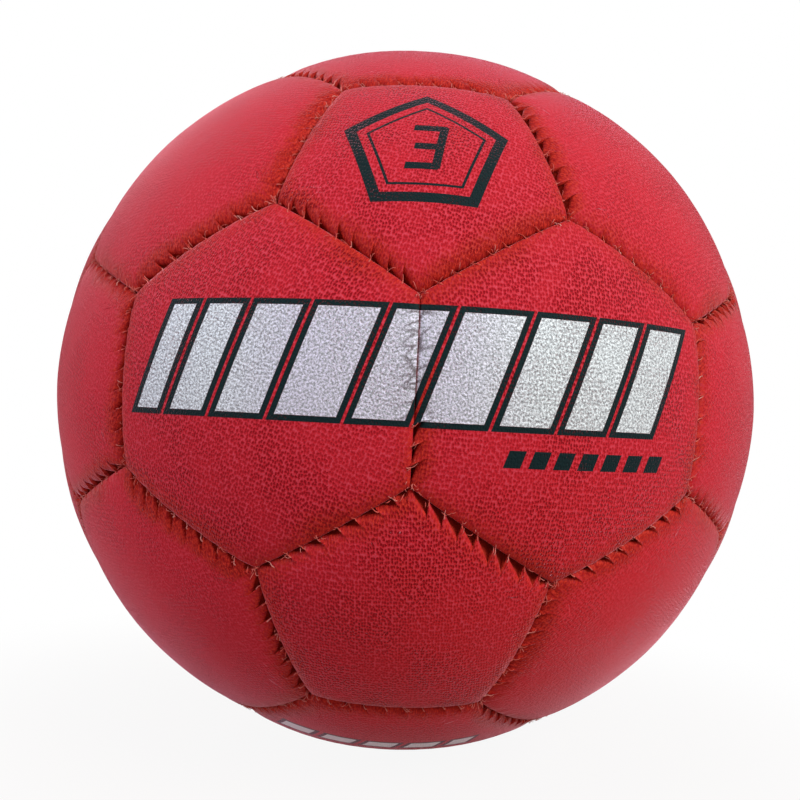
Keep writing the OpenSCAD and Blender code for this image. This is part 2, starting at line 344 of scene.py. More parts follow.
class PanelShape:
    """The closed skin of one panel, built ring by ring from its seams to its middle."""

    def __init__(self, centre, others, sides, tilt, number):
        self.axes = panel_axes(centre, others)
        self.tilt = tilt
        turns = [2 * math.pi * k / sides for k in range(sides)]
        self.sides = [Side(self.axes, turn, tilt) for turn in turns]
        self.rng = np.random.default_rng(SEED * 77 + number)
        self.phase = self.rng.uniform(0, 2 * math.pi)
        self.verts, self.faces, self.slots = [], [], []
        self.floats = {"edge_mm": [], "depth_mm": [], "seam_shading": []}
        self.slot = OUTER
        self.count = 0

    def sample(self):
        """The spots round the panel: side, angle, stitches."""
        angles = [side.spots() for side in self.sides]
        found = [side.stitched(angle) for side, angle in zip(self.sides, angles)]
        self.owner = np.repeat(np.arange(len(self.sides)), [len(a) for a in angles])
        self.angles = np.concatenate(angles)
        self.recess, self.pit, self.ridge, self.slant = (np.concatenate(part) for part in zip(*found))
        self.outs = np.array([side.out for side in self.sides])[self.owner]
        self.alongs = np.array([side.along for side in self.sides])[self.owner]

    def outline(self, angles):
        """Points of the panel's outline in the plane that touches the unit ball at its middle."""
        reach = np.tan(angles) / math.cos(self.tilt)
        return self.outs * math.tan(self.tilt) + reach[:, None] * self.alongs

    def inside(self, w):
        """Directions of all spots, each at its own distance w from the seam."""
        scale = self.scale_at(w)
        square = 1 - np.abs(self.angles / HALF_EDGE) ** SLANT_POWER
        angles = self.angles * (1 + square * (1 / scale - 1)) + self.slant * slide(w) / BALL_R
        return unit(self.axes[2] + self.outline(angles) * scale[:, None])

    def drop(self, direction, owner, own_w):
        """How far the skin lies below the ball: all sides together, a spot's own side at own_w."""
        total = np.zeros(len(direction))
        for k, side in enumerate(self.sides):
            w = BALL_R * np.arcsin(np.clip(direction @ side.inward, -1, 1))
            w = np.where(owner == k, own_w, np.maximum(w, 0))
            total += (roll(w, side.deepness) + pillow(w)) ** DROP_POWER
        return total ** (1 / DROP_POWER)

    def scale_at(self, w):
        """The size of the outline at a distance w from the seam, as a share of the whole one."""
        return np.tan(np.maximum(self.tilt - w / BALL_R, 0)) / math.tan(self.tilt)

    def add(self, points, edge, depth, seam_shading=0.0):
        """Keeps points with their attributes, and gives their numbers."""
        start = self.count
        self.verts.append(points)
        for kept, value in zip(self.floats.values(), (edge, depth, seam_shading)):
            kept.append(np.broadcast_to(value, len(points)).astype(float))
        self.count += len(points)
        return np.arange(start, self.count)

    def put(self, faces, outward=True):
        self.faces.append(faces if outward else faces[:, ::-1])
        self.slots.append(np.full(len(faces), self.slot))

    def band(self, first, second):
        """Joins two rings with as many points."""
        self.put(np.stack([first, np.roll(first, -1), np.roll(second, -1), second], 1))

    def thin_out(self, fine, coarse, outward):
        """Joins a ring to one with fewer points."""
        fine = fine.reshape(len(coarse), -1)
        row = np.concatenate([fine, np.roll(fine[:, :1], -1, axis=0)], 1)
        half = row.shape[1] // 2
        after = np.roll(coarse, -1)
        parts = [np.stack([row[:, j], row[:, j + 1], coarse if j < half else after], 1)
                 for j in range(COARSE)]
        parts.append(np.stack([row[:, half], after, coarse], 1))
        self.put(np.concatenate(parts), outward)

    def top_ring(self, w):
        """The outer skin's points at a distance w from the edge."""
        deep = w + self.recess * max(0.0, 1 - w / RECESS_REACH)
        direction = self.inside(deep)
        drop = self.drop(direction, self.owner, deep)
        drop += SINK * self.pit * max(0.0, 1 - w / SINK_REACH) ** 2
        drop += EDGE_ROUND * max(0.0, 1 - w / EDGE_ROUND_REACH) ** 2
        drop -= RIDGE_HEIGHT * self.ridge * max(0.0, 1 - w / RIDGE_REACH)
        drop += WAVE_DEPTH * waves(direction * BALL_R, self.phase) * min(1, w / WAVE_REACH)
        return direction * (BALL_R - np.maximum(drop, LEAST_DROP))[:, None]

    def build(self, hole=0.0):
        """The outer skin, then the turned-in rim and the underside; hole is the radius of a valve hole."""
        self.sample()
        plane = self.outline(self.angles)[::COARSE]
        circle = self.hole_edge(plane, hole)
        # How strong each side's painted seam shade and bounce light are, fading into the panel
        seam_shading_strengths = [SMOOTH_SEAM_SHADING if side.smooth else side.seam.seam_shading for side in self.sides]
        painted_seam_shading = np.array(seam_shading_strengths)[self.owner]
        rings = [self.add(self.top_ring(w), w, 0, painted_seam_shading * max(0.0, 1 - w / SEAM_SHADING_REACH))
                 for w in EDGE_RINGS]
        for outer, inner in zip(rings[:-1], rings[1:]):
            self.band(outer, inner)
        crown = self.crown(plane, circle, hole)
        self.thin_out(rings[-1], crown[0], True)
        self.slot = INNER
        rim = self.walls(rings[0])
        underside = self.underside(plane, circle, hole)
        self.thin_out(rim, underside[0], False)
        if hole:
            self.band(crown[-1], underside[-1])

    def walls(self, last):
        """The turned-in allowance: down its outer side, round its tip and up its inner side."""
        lip = np.linalg.norm(np.concatenate(self.verts)[last], axis=1)
        tip = np.full(len(lip), TIP_R)
        recess = np.maximum(self.recess, 0)
        steps = (
            (LIP_IN, 0.98, lip - LIP_TURN, 1.0),
            (ALLOWANCE_OUT, 0.75, 0.7 * lip + 0.3 * tip, 2.0),
            (ALLOWANCE_OUT, 0.15, 0.35 * lip + 0.65 * tip, 3.0),
            (ALLOWANCE_OUT, 0, tip, HIDDEN_DEPTH),
            (ALLOWANCE_IN, 0, tip, HIDDEN_DEPTH),
            (ALLOWANCE_IN, 0.5, np.minimum(lip - LIP_END, RIM_TOP_R), HIDDEN_DEPTH),
        )
        for w, recess_share, radius, depth in steps:
            ring = self.add(self.inside(w + recess_share * recess) * radius[:, None], 0, depth)
            self.band(ring, last)
            last = ring
        return last

    def hole_edge(self, plane, hole):
        """The edge of a round hole in the middle, one point towards each point of the outline."""
        azimuth = np.arctan2(plane @ self.axes[1], plane @ self.axes[0])
        circle = np.outer(np.cos(azimuth), self.axes[0]) + np.outer(np.sin(azimuth), self.axes[1])
        return circle * math.tan(hole / BALL_R)

    def crown(self, plane, circle, hole):
        """The rest of the outer skin, up to its middle or to the hole."""
        outer = self.scale_at(EDGE_RINGS[-1] + CROWN_STEP)
        rings = []
        for k in range(CROWN_RINGS):
            t = k / (CROWN_RINGS - 1 if hole else CROWN_RINGS)
            flat = plane * (outer * (1 - t)) + circle * t
            direction = unit(self.axes[2] + flat)
            w = np.min([BALL_R * np.arcsin(direction @ s.inward) for s in self.sides], axis=0)
            drop = self.drop(direction, np.full(len(plane), -1), w)
            uneven = WAVE_DEPTH * waves(direction * BALL_R, self.phase)
            ring = self.add(direction * (BALL_R - drop - uneven)[:, None], w, 0)
            if rings:
                self.band(rings[-1], ring)
            rings.append(ring)
        if not hole:
            middle = self.axes[2] * (BALL_R - WAVE_DEPTH / 2 - CROWN_DIP)
            self.cap(rings[-1], self.add(middle[None], MIDDLE_EDGE, 0)[0], True)
        return rings

    def underside(self, plane, circle, hole):
        """The skin's inner face, from the turned-in rim to its middle or to the hole."""
        rings = []
        for w, dip, t in UNDERSIDE_RINGS if hole else UNDERSIDE_RINGS[:-1]:
            flat = plane * (self.scale_at(w) * (1 - t)) + circle * t
            inner = unit(self.axes[2] + flat) * (SKIN_INNER_R - dip)
            ring = self.add(inner, UNDERSIDE_EDGE, HIDDEN_DEPTH)
            if rings:
                self.band(ring, rings[-1])
            rings.append(ring)
        if not hole:
            middle = self.axes[2] * SKIN_INNER_R
            self.cap(rings[-1], self.add(middle[None], UNDERSIDE_EDGE, HIDDEN_DEPTH)[0], False)
        return rings

    def cap(self, ring, hub, outward):
        """Closes a ring with triangles to one point."""
        self.put(np.stack([ring, np.roll(ring, -1), np.full(len(ring), hub)], 1), outward)

    def grain_space(self, points):
        """The panel's own flat coordinates, about upright, turned and moved by chance."""
        x, y, z = self.axes
        spin = math.atan2(x[2], y[2]) + self.rng.normal(0, GRAIN_TURN)
        a, b = points @ x, points @ y
        flat = np.stack([a * math.cos(spin) - b * math.sin(spin),
                         a * math.sin(spin) + b * math.cos(spin), points @ z - BALL_R], 1)
        return flat + self.rng.uniform(-GRAIN_SHIFT, GRAIN_SHIFT, 3)


def new_object(name, data):
    made = bpy.data.objects.new(name, data)
    bpy.context.scene.collection.objects.link(made)
    return made


def add_faces(mesh, groups):
    loops = np.concatenate([g.reshape(-1) for g in groups]).astype(np.int32)
    sizes = np.concatenate([np.full(len(g), g.shape[1]) for g in groups])
    starts = np.concatenate([[0], np.cumsum(sizes)[:-1]]).astype(np.int32)
    mesh.loops.add(len(loops))
    mesh.loops.foreach_set("vertex_index", loops)
    mesh.polygons.add(len(sizes))
    mesh.polygons.foreach_set("loop_start", starts)
    mesh.polygons.foreach_set("use_smooth", np.ones(len(sizes), bool))


def mesh_object(name, points, groups, floats=(), vectors=(), slots=None):
    mesh = bpy.data.meshes.new(name)
    mesh.vertices.add(len(points))
    mesh.vertices.foreach_set("co", (points * MM).astype(np.float32).ravel())
    add_faces(mesh, groups)
    if slots is not None:
        mesh.polygons.foreach_set("material_index", slots.astype(np.int32))
    mesh.update(calc_edges=True)
    mesh.validate()
    for pairs, kind, key in ((floats, "FLOAT", "value"), (vectors, "FLOAT_VECTOR", "vector")):
        for label, values in pairs:
            data = mesh.attributes.new(label, kind, "POINT").data
            data.foreach_set(key, values.astype(np.float32).ravel())
    return new_object(name, mesh)


class Nodes:
    """A material's or world's shader, and short ways to add nodes before it."""

    def __init__(self, owner, shader="Principled BSDF"):
        owner.use_nodes = True
        self.owner = owner
        self.tree = owner.node_tree
        self.shader = self.tree.nodes[shader]

    def new(self, kind, inputs=(), **settings):
        """Adds a node, with values or links for inputs by number or name."""
        node = self.tree.nodes.new(kind)
        for key, value in settings.items():
            setattr(node, key, value)
        for key, value in dict(inputs).items():
            self.feed(node.inputs[key], value)
        return node

    def feed(self, socket, value):
        if isinstance(value, bpy.types.NodeSocket):
            self.tree.links.new(value, socket)
        elif isinstance(value, (tuple, list)) and len(value) == 3 and socket.type == "RGBA":
            socket.default_value = (*value, 1)
        else:
            socket.default_value = value

    def calc(self, operation, *values, clamp=False):
        node = self.new("ShaderNodeMath", enumerate(values), operation=operation, use_clamp=clamp)
        return node.outputs[0]

    def vector(self, operation, *values, output="Vector"):
        return self.new("ShaderNodeVectorMath", enumerate(values), operation=operation).outputs[output]

    plus = partialmethod(calc, "ADD")
    minus = partialmethod(calc, "SUBTRACT")
    times = partialmethod(calc, "MULTIPLY")
    least = partialmethod(calc, "MINIMUM")
    most = partialmethod(calc, "MAXIMUM")
    dot = partialmethod(vector, "DOT_PRODUCT", output="Value")

    def scaled(self, vector, by):
        inputs = {0: vector, "Scale": by}
        return self.new("ShaderNodeVectorMath", inputs, operation="SCALE").outputs["Vector"]

    def attribute(self, name, output="Fac"):
        return self.new("ShaderNodeAttribute", attribute_name=name).outputs[output]

    def object_mm(self):
        return self.scaled(self.new("ShaderNodeTexCoord").outputs["Object"], 1 / MM)

    def x_and_z_mm(self):
        place = self.new("ShaderNodeSeparateXYZ", {0: self.object_mm()}).outputs
        return place["X"], place["Z"]

    def noise(self, vector, scale, detail, roughness, colour=False, flat=False):
        inputs = {"Vector": vector, "Scale": scale, "Detail": detail, "Roughness": roughness}
        node = self.new("ShaderNodeTexNoise", inputs, noise_dimensions="2D" if flat else "3D")
        return node.outputs["Color" if colour else 0]

    def cells(self, vector, scale, feature="F1", randomness=1.0):
        """Flat cells in the first two coordinates."""
        inputs = {"Vector": vector, "Scale": scale, "Randomness": randomness}
        node = self.new("ShaderNodeTexVoronoi", inputs, feature=feature, voronoi_dimensions="2D")
        return node.outputs["Distance"]

    def ramp(self, value, low, high, to_low=0.0, to_high=1.0):
        inputs = enumerate((value, low, high, to_low, to_high))
        return self.new("ShaderNodeMapRange", inputs, interpolation_type="SMOOTHSTEP").outputs[0]

    def mix(self, factor, first, second):
        """Mixes two colours."""
        return self.new("ShaderNodeMix", {0: factor, 6: first, 7: second}, data_type="RGBA").outputs[2]

    def blend(self, factor, first, second):
        """Mixes two numbers."""
        return self.new("ShaderNodeMix", {0: factor, 2: first, 3: second}, data_type="FLOAT").outputs[0]

    def bump(self, height, distance_mm):
        inputs = {"Strength": 1.0, "Distance": distance_mm * MM, "Height": height}
        return self.new("ShaderNodeBump", inputs).outputs["Normal"]

    def set(self, **values):
        for key, value in values.items():
            self.feed(self.shader.inputs[key.replace("_", " ")], value)


def new_material(name):
    return Nodes(bpy.data.materials.new(name))


# Generic prints: signed distances in millimetres, less than 0 inside
def box_distance(n, u, v, centre_u, centre_v, half_u, half_v):
    du = n.minus(n.calc("ABSOLUTE", n.minus(u, centre_u)), half_u)
    dv = n.minus(n.calc("ABSOLUTE", n.minus(v, centre_v)), half_v)
    return n.most(du, dv)


def bar_row(n, u, v, bars, centre_v, half_v, lean):
    leaned = n.minus(u, n.times(n.minus(v, centre_v), lean))
    return reduce(n.least, [box_distance(n, leaned, v, (a + b) / 2, centre_v, (b - a) / 2, half_v)
                            for a, b in bars])


# The band across both front hexagons, its row of small squares, and the bars at the lower rim: left and right
# ends, then middle height, half height, lean and width of the outline
BAND_BARS = ((-53, -48), (-45, -38), (-35, -26), (-23, -11), (-8, 2),
             (5, 17), (20, 30), (33, 41), (44, 52))
BAND_MIDDLE, BAND_HALF, BAND_LEAN, BAND_OUTLINE = 4.7, 10.6, 0.35, 1.2
SQUARES = tuple((18 + 5 * k, 21.4 + 5 * k) for k in range(7))
SQUARES_MIDDLE, SQUARES_HALF = -12.2, 1.7
LOW_BARS = ((-26, -19), (-16, -9), (-6, 1), (4, 11), (14, 19))
LOW_MIDDLE, LOW_HALF, LOW_LEAN, LOW_OUTLINE = 10.0, 3.0, 0.3, 1.0

# The badge: height above the panel's middle, distance of its sides, half width of the frame, and the thin
# line inside it
BADGE_LIFT, BADGE_REACH, BADGE_FRAME_HALF = 1.0, 13.5, 1.15
BADGE_LINE_IN, BADGE_LINE_HALF = 3.2, 0.3

# The numeral's strokes: middle across, middle up, half width and half height
NUMERAL_STROKES = ((0, 5.6, 3.4, 0.9), (0.5, 0, 2.9, 0.9), (0, -5.6, 3.4, 0.9),
                   (2.9, 2.8, 0.9, 3.4), (2.9, -2.8, 0.9, 3.4))
NUMERAL_LEAN = 0.15

# Half the width of the soft edge of a print
PRINT_SOFT = 0.05


def filled(n, distance, grown=0.0):
    """1 inside a shape that is grown by so many millimetres, and 0 outside it."""
    return n.ramp(distance, grown + PRINT_SOFT, grown - PRINT_SOFT)


def band_print(n):
    """Where the silver is, and where the dark green is."""
    u, v = n.x_and_z_mm()
    bars = bar_row(n, u, v, BAND_BARS, BAND_MIDDLE, BAND_HALF, BAND_LEAN)
    squares = bar_row(n, u, v, SQUARES, SQUARES_MIDDLE, SQUARES_HALF, BAND_LEAN)
    fill = filled(n, bars)
    outline = n.minus(filled(n, bars, BAND_OUTLINE), fill)
    return fill, n.most(outline, filled(n, squares))


def flat_coordinates(n, centre, lift=0.0):
    """Right and up, in millimetres, across a panel in front of the camera."""
    up = unit(np.array((0, 0, 1.0)) - centre * centre[2])
    right = np.cross(up, centre)
    right = right if right[0] > 0 else -right
    place = n.object_mm()
    u = n.dot(place, tuple(right))
    v = n.dot(place, tuple(up))
    return u, n.minus(v, lift)


def pentagon_distance(n, u, v, radius):
    """Point up: the largest of five distances from the sides."""
    sides = []
    for k in range(5):
        turn = math.radians(-90 + 72 * k)
        along = n.plus(n.times(u, math.cos(turn)), n.times(v, math.sin(turn)))
        sides.append(n.minus(along, radius))
    return reduce(n.most, sides)


def shell(n, distance, half):
    return n.minus(n.calc("ABSOLUTE", distance), half)


def numeral_three(n, u, v):
    """A plain square 3 of five strokes, leaning a little."""
    leaned = n.minus(u, n.times(v, NUMERAL_LEAN))
    return reduce(n.least, [box_distance(n, leaned, v, *stroke) for stroke in NUMERAL_STROKES])


def badge_print(n):
    """No silver: a dark green frame, a thin line inside it and a numeral."""
    u, v = flat_coordinates(n, PENTAGONS[3], BADGE_LIFT)
    outline = pentagon_distance(n, u, v, BADGE_REACH)
    inner = n.plus(outline, BADGE_LINE_IN)
    lines = [shell(n, outline, BADGE_FRAME_HALF), shell(n, inner, BADGE_LINE_HALF), numeral_three(n, u, v)]
    return None, filled(n, reduce(n.least, lines))


def low_print(n):
    """Where the silver is, and where the dark green is."""
    u, v = flat_coordinates(n, HEXAGONS[9])
    bars = bar_row(n, u, v, LOW_BARS, LOW_MIDDLE, LOW_HALF, LOW_LEAN)
    fill = filled(n, bars)
    return fill, n.minus(filled(n, bars, LOW_OUTLINE), fill)


# Colours, and the direction towards which a warmer red is painted in as warm light
LEATHER_RED = (0.545, 0.015, 0.026)
# Pink: a tone in random specks, and the painted highlight on the grain's ridges
LEATHER_PINK_AND_HIGHLIGHT = (0.66, 0.095, 0.150)
# Dark red of the dimples, as grain tone and painted shade in their hollows, and of random specks
LEATHER_DARK = (0.21, 0.001, 0.006)
# Painted beside the seams and on the turned-in rim: a dark red for the valley's shade and an orange for light
# bounced in it
SEAM_SHADE_RED = (0.23, 0.004, 0.004)
SEAM_BOUNCE_ORANGE = (0.56, 0.038, 0.018)
PIT_BROWN = (0.42, 0.030, 0.018)
# Painted warm light: its red, and the side it is painted towards
WARM_LIGHT_RED = (0.60, 0.016, 0.010)
WARM_LIGHT_SIDE = (0.35, -0.67, -0.65)
PRINT_SILVER = (0.79, 0.90, 0.94)
PRINT_LILAC = (0.72, 0.73, 0.88)
# The dark specks between the painted glints in the silver
PRINT_SHADE = (0.28, 0.31, 0.33)
PRINT_GREEN = (0.005, 0.017, 0.019)
# Painted shade in the foil's crinkles by the middle seam
FOIL_CREASE_SHADE = (0.10, 0.08, 0.09)
THREAD_DYED = (0.56, 0.040, 0.022)
THREAD_PALE = (0.80, 0.50, 0.45)
CLOTH_DARK = (0.62, 0.58, 0.50)
CLOTH_PALE = (0.74, 0.71, 0.64)

# The leather's patterns: their scales for each millimetre, and how they are bent and stretched
WARP_SCALE, WARP_REACH = 1.3, 0.48
DIMPLE_SCALE, DIMPLE_STRETCH, DIMPLE_RANDOMNESS = 1.75, (1.0, 0.64, 1.0), 0.62
FINE_SCALE, PATCH_SCALE, SPECKLE_SCALE, SPARKLE_SCALE, SWELL_SCALE = 3.1, 0.06, 2.6, 2.0, 0.5
FIBRE_SCALE, FIBRE_STRETCH, RIM_FIBRE_STRETCH = 1.5, (2.2, 0.8, 1.0), (2.2, 2.2, 0.8)
CREASE_SCALE, CREASE_STRETCH = 0.42, (1.0, 0.45, 1.0)
CREASE_SHADE_SCALE, CREASE_SHADE_DIRECTIONS = 0.36, ((0.35, 0.40, 0.0), (-1.0, 0.85, 0.0))
YARNS_TURN = 5.2

# Where a pattern fades in: its values at none and at full, then what these stand for if not 0 and 1
PATCH_FADE = (0.35, 0.65, 0.5, 1.0)
EDGE_FADE = (0.1, 2.0)
DIMPLE_DARK_AND_SHADE, DIMPLE_HIGHLIGHT, DIMPLE_NET = (0.52, 0.18), (0.42, 0.75), (0.05, 0.5)
SPECKLE_PALE, SPECKLE_SHADE, SPARKLE_FADE = (0.40, 0.72), (0.50, 0.26), (0.37, 0.63)
SEAM_SHADING_FADE, FIBRE_FADE = (0.10, 0.72), (0.38, 0.62)
WARM_LIGHT_FADE = (80.0, 108.0, 0.0, 0.6)
CREASE_FADE = (6.0, 0.5, 0.0, 2.4)
LILAC_LEFT, LILAC_RIGHT = (-42.0, -20.0), (26.0, 4.0)
CREASE_SHADE_FADE, CREASE_SHADE_REACH, CREASE_SHADE_FIBRES = (0.16, 0.03), (5.0, 0.8), (0.34, 0.48)
WORN_FADE, PRINT_EDGE_FADE = (0.6, 1.0, 0.0, 0.12), (0.04, 0.16)
RIM_DEEP = (0.15, 1.5)

# How strongly each pattern shows; the two pairs are for unclear and clear grain, and for none and full
# painted seam shade and bounce light
MOTTLE_SHARES = (0.5, 0.26)
GRAIN_HIGHLIGHT_SHARE, DIMPLE_DARK_AND_SHADE_SHARE, SHADE_SHARE, SEAM_SHADING_SHARE, CREASE_SHADE_SHARE = 0.42, 0.80, 0.35, 0.88, 0.8
RAGGED_SHARE, WARM_LIGHT_RAGGED = 0.9, 22.0
FINE_HEIGHT, SWELL_HEIGHT, FINE_WEAR = 0.3, 0.5, 0.5
ROUGH_SHARES, DIMPLE_ROUGH = (0.56, 0.42), 0.75
SILVER_METAL, SILVER_ROUGH = 0.12, 0.5
LEATHER_BUMP = 0.14


def leather_patterns(n):
    """The patterns that the leather's colour, gloss, prints and relief share."""
    p = SimpleNamespace()
    p.grain = n.attribute("grain", "Vector")
    p.edge = n.attribute("edge_mm")
    p.clear = n.attribute("clear")
    noise = n.noise(p.grain, WARP_SCALE, 3.0, 0.7, colour=True, flat=True)
    push = n.vector("SUBTRACT", noise, (0.5, 0.5, 0.5))
    p.warped = n.vector("ADD", p.grain, n.scaled(push, WARP_REACH))
    stretched = n.vector("MULTIPLY", p.warped, DIMPLE_STRETCH)
    p.dimple = n.cells(stretched, DIMPLE_SCALE, randomness=DIMPLE_RANDOMNESS)
    p.fine = n.cells(p.warped, FINE_SCALE)
    p.patch = n.noise(p.grain, PATCH_SCALE, 3.0, 0.6, flat=True)
    p.cover = n.times(n.ramp(p.patch, *PATCH_FADE), n.ramp(p.edge, *EDGE_FADE))
    # Dark in the dimples, the bump's hollows: grain tone and painted shade
    p.dark = n.times(n.times(n.ramp(p.dimple, *DIMPLE_DARK_AND_SHADE), p.cover), p.clear)
    p.speckle = n.noise(p.grain, SPECKLE_SCALE, 3.0, 0.8, flat=True)
    drawn = n.vector("MULTIPLY", p.grain, FIBRE_STRETCH)
    p.fibres = n.noise(drawn, FIBRE_SCALE, 4.0, 0.75, flat=True)
    # Where the painted shade and bounce light beside the seams show, with a ragged border
    ragged = n.times(n.plus(n.plus(p.patch, p.fibres), -1.0), RAGGED_SHARE)
    p.seam_shading = n.ramp(n.plus(n.attribute("seam_shading"), ragged), *SEAM_SHADING_FADE)
    return p


def leather_colour(n, p):
    """Red: warmer to one side as painted warm light, pinker in specks, pinker on ridges as painted highlight,
    darker and warmer by the seams as painted shade and bounce light, dark in dimples as grain tone and
    painted shade.
    """
    # A warmer red towards the lower right front, with a ragged border: painted warm light
    towards = n.dot(n.object_mm(), WARM_LIGHT_SIDE)
    warm_light = n.ramp(n.plus(towards, n.times(p.patch, WARM_LIGHT_RAGGED)), *WARM_LIGHT_FADE)
    mottle = n.times(n.ramp(p.speckle, *SPECKLE_PALE), n.blend(p.clear, *MOTTLE_SHARES))
    ground = n.mix(mottle, n.mix(warm_light, LEATHER_RED, WARM_LIGHT_RED), LEATHER_PINK_AND_HIGHLIGHT)
    # Pinker on the grain's ridges between the dimples: painted highlight
    raised_highlight = n.times(n.ramp(p.dimple, *DIMPLE_HIGHLIGHT), n.times(p.clear, GRAIN_HIGHLIGHT_SHARE))
    ground = n.mix(raised_highlight, ground, LEATHER_PINK_AND_HIGHLIGHT)
    # Darker and more orange beside the seams: painted shade and bounce light
    seam_shading_colour = n.mix(n.ramp(p.fibres, *FIBRE_FADE), SEAM_SHADE_RED, SEAM_BOUNCE_ORANGE)
    ground = n.mix(n.times(p.seam_shading, SEAM_SHADING_SHARE), ground, seam_shading_colour)
    shade = n.times(n.ramp(p.speckle, *SPECKLE_SHADE), SHADE_SHARE)
    # Dark in the dimples as grain tone and painted shade, and in random specks
    dark = n.most(n.times(p.dark, DIMPLE_DARK_AND_SHADE_SHARE), shade)
    return n.mix(dark, ground, LEATHER_DARK)


def leather_height(n, p):
    """Dimples, fine grain, slow swells, and creases along the seams."""
    net = n.times(n.ramp(p.dimple, *DIMPLE_NET), p.cover)
    height = n.plus(n.times(net, p.clear), n.times(p.fine, FINE_HEIGHT))
    swell = n.noise(p.grain, SWELL_SCALE, 4.0, 0.6)
    height = n.plus(height, n.times(swell, SWELL_HEIGHT))
    crease = n.noise(n.vector("MULTIPLY", p.grain, CREASE_STRETCH), CREASE_SCALE, 2.0, 0.5, flat=True)
    return n.plus(height, n.times(crease, n.ramp(p.edge, *CREASE_FADE)))


def foil(n, p):
    """Silver with painted glints, lilac round the middle seam, and painted shade in thin crinkle lines close
    to it.
    """
    across = n.dot(n.object_mm(), (1.0, 0.0, 0.0))
    lilac = n.times(n.ramp(across, *LILAC_LEFT), n.ramp(across, *LILAC_RIGHT))
    # Bright and dark specks in the silver's colour: painted glints and dark reflections in the foil
    sparkle = n.ramp(n.noise(p.grain, SPARKLE_SCALE, 3.0, 0.8, flat=True), *SPARKLE_FADE)
    silver = n.mix(sparkle, PRINT_SHADE, n.mix(lilac, PRINT_SILVER, PRINT_LILAC))
    # Thin dark lines close to the middle seam: painted shade in the foil's crinkles
    places = enumerate(n.dot(p.warped, direction) for direction in CREASE_SHADE_DIRECTIONS)
    crinkled = n.new("ShaderNodeCombineXYZ", places).outputs[0]
    crease_shade = n.ramp(n.cells(crinkled, CREASE_SHADE_SCALE, "DISTANCE_TO_EDGE"), *CREASE_SHADE_FADE)
    close = n.times(n.ramp(p.edge, *CREASE_SHADE_REACH), n.ramp(p.fibres, *CREASE_SHADE_FIBRES))
    crease_shade = n.times(n.times(crease_shade, close), CREASE_SHADE_SHARE)
    return n.mix(crease_shade, silver, FOIL_CREASE_SHADE)


def leather_material(name, prints=None, creased=False):
    """Red leather, with prints that are worn in the dimples and end where the edge turns in."""
    n = new_material(name)
    p = leather_patterns(n)
    colour = leather_colour(n, p)
    rough = n.blend(p.dark, n.blend(p.seam_shading, *ROUGH_SHARES), DIMPLE_ROUGH)
    metal = 0.0
    if prints:
        fill, green = prints(n)
        keep = n.minus(1.0, n.ramp(p.dark, *WORN_FADE))
        worn = n.plus(p.edge, n.times(p.fine, FINE_WEAR))
        keep = n.times(keep, n.ramp(worn, *PRINT_EDGE_FADE))
        if fill is not None:
            shown = n.times(fill, keep)
            colour = n.mix(shown, colour, foil(n, p) if creased else PRINT_SILVER)
            metal = n.times(shown, SILVER_METAL)
            rough = n.blend(shown, rough, SILVER_ROUGH)
        colour = n.mix(n.times(green, keep), colour, PRINT_GREEN)
    n.set(Base_Color=colour, Roughness=rough, Metallic=metal, Specular_IOR_Level=0.05,
          Sheen_Weight=0.65, Sheen_Roughness=0.28, Sheen_Tint=(1.0, 0.50, 0.62),
          Normal=n.bump(leather_height(n, p), LEATHER_BUMP))
    return n.owner


def rim_material(name):
    """The panel's turned-in rim: the seams' painted shade and bounce light colours, browner down in the seam,
    and fibrous.
    """
    n = new_material(name)
    deep = n.ramp(n.attribute("depth_mm"), *RIM_DEEP)
    drawn = n.vector("MULTIPLY", n.attribute("grain", "Vector"), RIM_FIBRE_STRETCH)
    fibres = n.noise(drawn, FIBRE_SCALE, 4.0, 0.75)
    painted_seam_shading = n.mix(n.ramp(fibres, *FIBRE_FADE), SEAM_SHADE_RED, SEAM_BOUNCE_ORANGE)
    n.set(Base_Color=n.mix(deep, painted_seam_shading, PIT_BROWN), Roughness=0.8, Specular_IOR_Level=0.02,
          Normal=n.bump(fibres, 0.1))
    return n.owner


def speckled_material(name, colour, second, roughness, scale, bump_mm):
    """A plain rubber with a fine grain."""
    n = new_material(name)
    grain = n.noise(n.object_mm(), scale, 4.0, 0.6)
    n.set(Base_Color=n.mix(n.ramp(grain, 0.35, 0.7), colour, second), Roughness=roughness,
          Normal=n.bump(grain, bump_mm))
    return n.owner


def thread_material(name):
    """Waxed thread that has taken up the leather's dye, more in some stitches."""
    n = new_material(name)
    grain = n.noise(n.object_mm(), 2.5, 3.0, 0.6)
    pale = n.calc("ADD", n.attribute("pale"), n.times(grain, 0.25), clamp=True)
    n.set(Base_Color=n.mix(pale, THREAD_DYED, THREAD_PALE), Roughness=0.7, Specular_IOR_Level=0.1,
          Normal=n.bump(grain, 0.05))
    return n.owner


def cloth_material(name):
    """Woven lining cloth: two crossing sets of rounded yarns."""
    n = new_material(name)
    weave = n.times(*[n.calc("SINE", n.times(place, YARNS_TURN)) for place in n.x_and_z_mm()])
    n.set(Base_Color=n.mix(n.ramp(weave, -1, 1), CLOTH_DARK, CLOTH_PALE), Roughness=0.85,
          Normal=n.bump(weave, 0.08))
    return n.owner


# The two runs of thread beside each seam, inside the ball
RUN_R = VALLEY_R - STITCH_DEPTH
RUN_SIDE, RUN_THREAD_R, RUN_MARGIN, RUN_POINTS, RUN_PALE = 1.75, 0.35, 2.2, 22, 0.8

